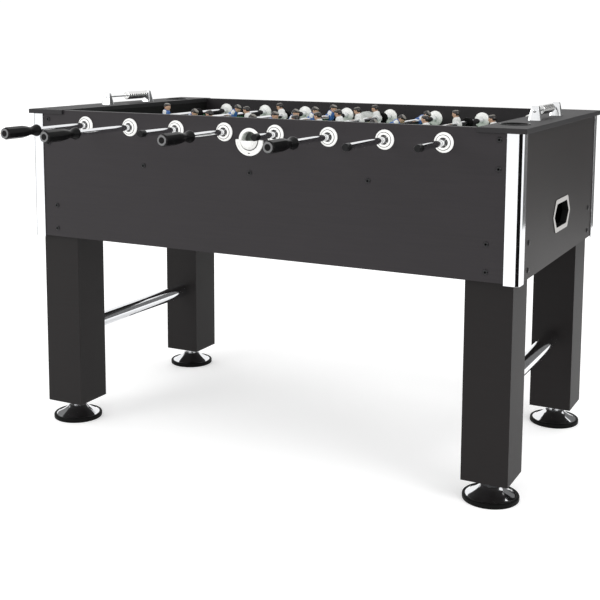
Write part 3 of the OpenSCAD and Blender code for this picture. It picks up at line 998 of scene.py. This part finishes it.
def rod_handle(rod):
    """Eight-sided grip: barrel, waist and a flared inner end."""
    low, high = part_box(f"rod_{rod}_handle")
    length = high.y - low.y
    radius = (high.x - low.x) / 2
    waist_r = 10.3 * MM
    front = high.y < 0
    at = along_y(rod_x(rod), low.y, ROD_Z) if front else (
        HALF_TURN @ along_y(-rod_x(rod), -high.y, ROD_Z))
    body = rounded([
        (11.6 * MM, 0.3 * MM), (radius - 2.6 * MM, 0.5 * MM), (radius, 4.8 * MM),
        (radius, length * 0.3), (radius, length * 0.52), (radius - 1.7 * MM, length * 0.62),
        (waist_r, length * 0.735), (waist_r, length * 0.8), (13.4 * MM, length * 0.88),
        (radius, length * 0.935), (radius - 0.3 * MM, length * 0.965),
        (10.8 * MM, length * 0.998), (ROD_R + 0.1 * MM, length * 0.998),
    ], 5 * MM, 5)

    barrel_end, fade = length * 0.55, length * 0.15

    def flats(theta, along):
        rounder = min(max((along - barrel_end) / fade, 0.0), 1.0)
        return polygon_factor(theta, 8, 0.2 + 0.6 * rounder)

    build = Build()
    build.turned(at, body, 64, shape=flats)
    face = rounded([
        (12.4 * MM, 1.4 * MM), (12.2 * MM, 0.2 * MM), (11 * MM, 0.0), (7.6 * MM, 0.2 * MM),
        (7.2 * MM, 1.4 * MM),
    ], 0.5 * MM, 3)
    build.turned(at, face, 48, 1)
    hole = rounded([(7.2 * MM, 1.4 * MM), (6.4 * MM, 1.6 * MM), (6 * MM, 3.4 * MM),
                    (0.0, 3.4 * MM)], 0.4 * MM, 3)
    build.turned(at, hole, 48, 2)
    build.piece(f"rod_{rod}_grip", f"rod_{rod}_spinner", "black_plastic", GRIP, GRIP_FACE,
                STEEL, replaces=(f"rod_{rod}_handle",))


def rod_stops(rod):
    """Two rubber bumpers and the cap on the end away from the handle."""
    low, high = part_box(f"rod_{rod}_stops")
    handle_low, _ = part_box(f"rod_{rod}_handle")
    travel = JOINTS[f"rod_{rod}_push"]["range_m"]
    nut_t, stop_gap = 8 * MM, 1 * MM
    limit = PANEL_IN - nut_t - stop_gap
    length, radius = 18 * MM, 16 * MM
    bore = ROD_R + 0.1 * MM
    ring = rounded([
        (bore, 0.0), (radius - 1.5 * MM, 0.0), (radius, 1.8 * MM), (radius, length * 0.3),
        (radius - 2 * MM, length * 0.42), (radius - 2 * MM, length * 0.58),
        (radius, length * 0.7), (radius, length - 1.8 * MM), (radius - 1.5 * MM, length),
        (bore, length),
    ], 1.4 * MM, 4, closed=True)
    build = Build()
    for start in (-limit - travel[0], limit - travel[1] - length):
        build.turned(along_y(rod_x(rod), start, ROD_Z), ring, 48, loop=True)
    cap_l, cap_r = 21 * MM, 9 * MM
    front_cap = handle_low.y > 0
    at = along_y(rod_x(rod), low.y, ROD_Z) if front_cap else (
        HALF_TURN @ along_y(-rod_x(rod), -high.y, ROD_Z))
    cap = rounded([
        (0.0, 0.5 * MM), (4 * MM, 0.0), (cap_r - 2 * MM, 0.0), (cap_r, 2 * MM),
        (cap_r, cap_l - 0.6 * MM), (cap_r - 0.4 * MM, cap_l), (ROD_R + 0.1 * MM, cap_l),
    ], 1 * MM, 4)
    build.turned(at, cap, 40, 1)
    build.piece(f"rod_{rod}_bumpers_and_cap", f"rod_{rod}_carriage", "black_rubber",
                RUBBER, BLACK, replaces=(f"rod_{rod}_stops",))


# ---- the men -----------------------------------------------------------------

MEN_ON_ROD = {1: 1, 2: 2, 3: 3, 4: 5, 5: 5, 6: 3, 7: 2, 8: 1}
LEAN = {1: 8, 2: 40, 3: -16, 4: 25, 5: -12, 6: 50, 7: -5, 8: -10}
SHIRT, SLEEVES, FLESH, LOCKS, SHORTS, SOCKS, BOOTS, HIGHLIGHT_SLOT = range(8)


def mm_sections(rows):
    return [tuple(value * MM for value in row) for row in rows]


def figure_mesh(name, shirt, sleeves, shorts, socks):
    """A player facing +X with the rod through the chest at the origin."""
    here = Matrix.Identity(4)
    build = Build()
    build.loft(here, mm_sections([
        (-16, -0.4, 0, 8.2, 8.8), (-9, 0.2, 0, 9.3, 9.2), (0, 0.6, 0, 11, 10.2),
        (9, 0.4, 0, 11.3, 11), (16, -0.2, 0, 10.2, 11.2), (20.5, -0.8, 0, 7.8, 9.6),
        (23, -1, 0, 5.2, 5.6),
    ]), SHIRT, 28, 2.4)
    bore = ROD_R + 0.1 * MM
    build.turned(along_y(0, -13 * MM, 0), rounded([
        (bore, 0.0), (10.4 * MM, 0.0), (11.4 * MM, 1.2 * MM), (11.4 * MM, 24.8 * MM),
        (10.4 * MM, 26 * MM), (bore, 26 * MM),
    ], 1 * MM, 3, closed=True), 32, SHIRT, loop=True)
    for side in SIDES:
        build.loft(here, mm_sections([
            (21.5, -0.8, side * 8.2, 4.2, 2.6), (18, -0.6, side * 9.4, 6, 3.2),
            (11, -0.2, side * 9.9, 6.6, 3.1), (3, 0.3, side * 10, 6.4, 3),
            (0.5, 0.4, side * 10, 5.6, 2.8),
        ]), SLEEVES, 18)
        build.loft(here, mm_sections([
            (2, 0.6, side * 10.2, 4.4, 2.5), (-5, 1.2, side * 10.4, 4.2, 2.5),
            (-12, 3, side * 10.2, 3.6, 2.4), (-18, 5, side * 9.8, 3.2, 2.2),
            (-22, 6, side * 9.4, 3.5, 2.5), (-25.5, 6.4, side * 9, 2.2, 1.7),
        ]), FLESH, 16)
        build.loft(here, mm_sections([
            (-29, 0.4, side * 4.9, 5.3, 4.5), (-35, 0.5, side * 4.8, 5, 4.3),
            (-41, 0.1, side * 4.7, 4.5, 4), (-43, 0, side * 4.7, 4.5, 4),
        ]), FLESH, 18)
        build.loft(here, mm_sections([
            (-42, 0, side * 4.7, 4.9, 4.3), (-47, -0.7, side * 4.7, 5.2, 4.4),
            (-52, -0.5, side * 4.7, 4.7, 4.2), (-57, 0, side * 4.8, 4.6, 4.2),
        ]), SOCKS, 18)
        build.ball(here, [v * MM for v in (-0.4, side * 9.3, 30)],
                   [v * MM for v in (2, 1.1, 2.6)], FLESH, 10)
        build.ball(here, [v * MM for v in (10, side * 3.2, 32.4)],
                   [v * MM for v in (0.9, 1.3, 0.8)], LOCKS, 8)
    build.loft(here, mm_sections([
        (-13.5, -0.3, 0, 8.8, 9.4), (-19, 0, 0, 9, 9.9), (-26, 0.3, 0, 8.9, 10.4),
        (-31.5, 0.5, 0, 8.4, 10.2),
    ]), SHORTS, 26, 2.6)
    build.loft(here, mm_sections([
        (-54.5, -0.4, 0, 5.6, 9), (-59, 0.6, 0, 8, 10.6), (-64, 1.4, 0, 9.6, 11.8),
        (-68.5, 1.5, 0, 9.6, 12), (-70, 1.4, 0, 9, 11.5),
    ]), BOOTS, 28, 4.0)
    build.loft(here, mm_sections([
        (18, -0.8, 0, 5.4, 5.6), (21, -0.4, 0, 4.8, 4.8), (25, 0.4, 0, 5, 4.8),
    ]), FLESH, 18)
    build.loft(here, mm_sections([
        (20.6, 3.4, 0, 3.6, 3.6), (22.2, 2.6, 0, 6.6, 5.8), (26, 1.4, 0, 8.9, 7.6),
        (31, 1, 0, 9.9, 8.9), (36, 0.6, 0, 9.5, 8.7), (39.5, 0.2, 0, 7, 6.6),
        (41.4, 0, 0, 2.6, 2.6),
    ]), FLESH, 24)
    build.loft(here, mm_sections([
        (26.5, -4.6, 0, 5.2, 7), (30, -2.8, 0, 8, 9.4), (34.5, -0.6, 0, 10, 9.8),
        (38, 0.8, 0, 9.9, 9), (39.6, 0.8, 0, 8.6, 7.8),
    ]), LOCKS, 24)
    # Flat top of the hair in the lighter finish: painted highlight
    build.loft(here, mm_sections([
        (39.2, 0.8, 0, 8.8, 8), (40.6, 0.7, 0, 8, 7.2), (41.8, 0.5, 0, 4.6, 4.2),
    ]), HIGHLIGHT_SLOT, 24)
    build.loft(here, mm_sections([
        (27, 10.4, 0, 1.5, 1.7), (29, 10.9, 0, 1.5, 1.5), (32, 10.2, 0, 0.8, 0.9),
    ]), FLESH, 10)
    return build.to_mesh(
        name, (shirt, sleeves, SKIN, HAIR, shorts, socks, DARK, HAIR_HIGHLIGHT), 50.0
    )


def rod_men(rod, meshes):
    node = f"rod_{rod}_men"
    low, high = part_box(node)
    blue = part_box(f"rod_{rod}_handle")[0].y < 0
    half = 13 * MM
    first, last = low.y + half, high.y - half
    count = MEN_ON_ROD[rod]
    step = (last - first) / max(count - 1, 1)
    lean = Matrix.Rotation(math.radians(LEAN[rod]), 4, "Y")
    facing = Matrix.Identity(4) if blue else HALF_TURN
    for i in range(count):
        set_out(
            f"rod_{rod}_man_{i + 1}", meshes[blue], f"rod_{rod}_spinner",
            (node,),
            spot(rod_x(rod), first + i * step, ROD_Z) @ lean @ facing,
        )


# ---- stage -------------------------------------------------------------------


def studio_floor():
    half = 12.0
    mesh = bpy.data.meshes.new("studio_floor")
    mesh.from_pydata(
        [(-half, -half, 0), (half, -half, 0), (half, half, 0), (-half, half, 0)],
        [], [(0, 1, 2, 3)],
    )
    finish = Finish("studio_floor")
    grain = finish.noise(3.0, 2.0)
    mesh.materials.append(finish.surface(
        Base_Color=finish.blend((0.86, 0.86, 0.86), (0.88, 0.88, 0.88), grain),
        Roughness=0.8,
        Specular_IOR_Level=0.1,
        Emission_Color=(1.0, 1.0, 1.0, 1.0),
        Emission_Strength=0.33,
    ))
    floor = bpy.data.objects.new("studio_floor", mesh)
    floor.location.z = -0.0005
    bpy.context.scene.collection.objects.link(floor)


def dark_wall(name, radius, turns, heights, shade):
    """A curved flag round the table that shows only in glossy surfaces. Its turns are in
    degrees from the front, growing towards the right-hand end."""
    steps = 24
    start, end = turns
    corners, faces = [], []
    for i in range(steps + 1):
        turn = math.radians(start + (end - start) * i / steps)
        for z in heights:
            corners.append((radius * math.sin(turn), -radius * math.cos(turn), z))
    for i in range(0, 2 * steps, 2):
        faces.append((i, i + 2, i + 3, i + 1))
    mesh = bpy.data.meshes.new(name)
    mesh.from_pydata(corners, [], faces)
    finish = Finish(name)
    mesh.materials.append(finish.surface(
        Base_Color=(shade, shade, shade, 1.0), Roughness=1.0, Specular_IOR_Level=0.0
    ))
    wall = bpy.data.objects.new(name, mesh)
    bpy.context.scene.collection.objects.link(wall)
    wall.visible_camera = False
    wall.visible_diffuse = False
    wall.visible_shadow = False
    wall.visible_transmission = False


def lights():
    world = bpy.data.worlds.new("studio")
    bpy.context.scene.world = world
    world.use_nodes = True
    background = world.node_tree.nodes["Background"]
    background.inputs["Color"].default_value = (1.0, 1.0, 1.0, 1.0)
    background.inputs["Strength"].default_value = 1.05
    for name, place, aim, size, power in (
        ("key", (3.4, -1.4, 2.5), (0.5, 0, 0.5), 1.6, 34.0),
        ("fill", (-2.8, -4.2, 2.8), (-0.4, 0, 0.5), 2.4, 60.0),
    ):
        lamp = bpy.data.lights.new(name, "AREA")
        lamp.size = size
        lamp.energy = power
        thing = bpy.data.objects.new(name, lamp)
        thing.location = place
        direction = Vector(aim) - Vector(place)
        thing.rotation_euler = direction.to_track_quat("-Z", "Y").to_euler()
        bpy.context.scene.collection.objects.link(thing)


def camera():
    place = Vector((1.3594, -2.7453, 1.0928))
    yaw, pitch, roll = (math.radians(v) for v in (27.22, 7.27, 0.24))
    forward = Vector((-math.sin(yaw) * math.cos(pitch), math.cos(yaw) * math.cos(pitch),
                      -math.sin(pitch)))
    right = Vector((math.cos(yaw), math.sin(yaw), 0.0))
    up = right.cross(forward)
    level = Matrix((right, up, -forward)).transposed()
    lens = bpy.data.cameras.new("camera")
    lens.sensor_width = 36.0
    lens.lens = 65.05
    lens.shift_y = -0.2
    lens.clip_end = 100.0
    thing = bpy.data.objects.new("camera", lens)
    thing.matrix_world = Matrix.Translation(place) @ (
        level @ Matrix.Rotation(roll, 3, "Z")
    ).to_4x4()
    bpy.context.scene.collection.objects.link(thing)
    bpy.context.scene.camera = thing


def main():
    camera()
    lights()
    studio_floor()
    dark_wall("right_flag", 1.7, (30.0, 76.0), (0.1, 1.1), 0.008)
    dark_wall("left_flag", 1.7, (-105.0, -76.0), (0.1, 1.1), 0.2)
    dark_wall("scorer_flag", 1.7, (118.0, 158.0), (1.0, 1.75), 0.01)
    dark_wall("rear_right_flag", 4.0, (138.0, 178.0), (0.0, 2.6), 0.14)
    cabinet_boards()
    inner_parts()
    corner_trims()
    crossbars()
    return_bezels()
    cabinet_bolts()
    bearings()
    serve_cups()
    serve_hoods()
    cup_holders()
    scorer_frames()
    for side in ("left", "right"):
        scoring_beads(side)
    for corner in ("front_left", "front_right", "rear_left", "rear_right"):
        leveler(corner)
    meshes = {
        True: figure_mesh("blue_player", BLUE, PALE, NAVY, BLUE),
        False: figure_mesh("white_player", PALE, PALE, NAVY, PALE),
    }
    for rod in RODS:
        rod_tube(rod)
        rod_handle(rod)
        rod_stops(rod)
        rod_men(rod, meshes)
    bpy.context.scene.view_settings.view_transform = "Standard"


main()
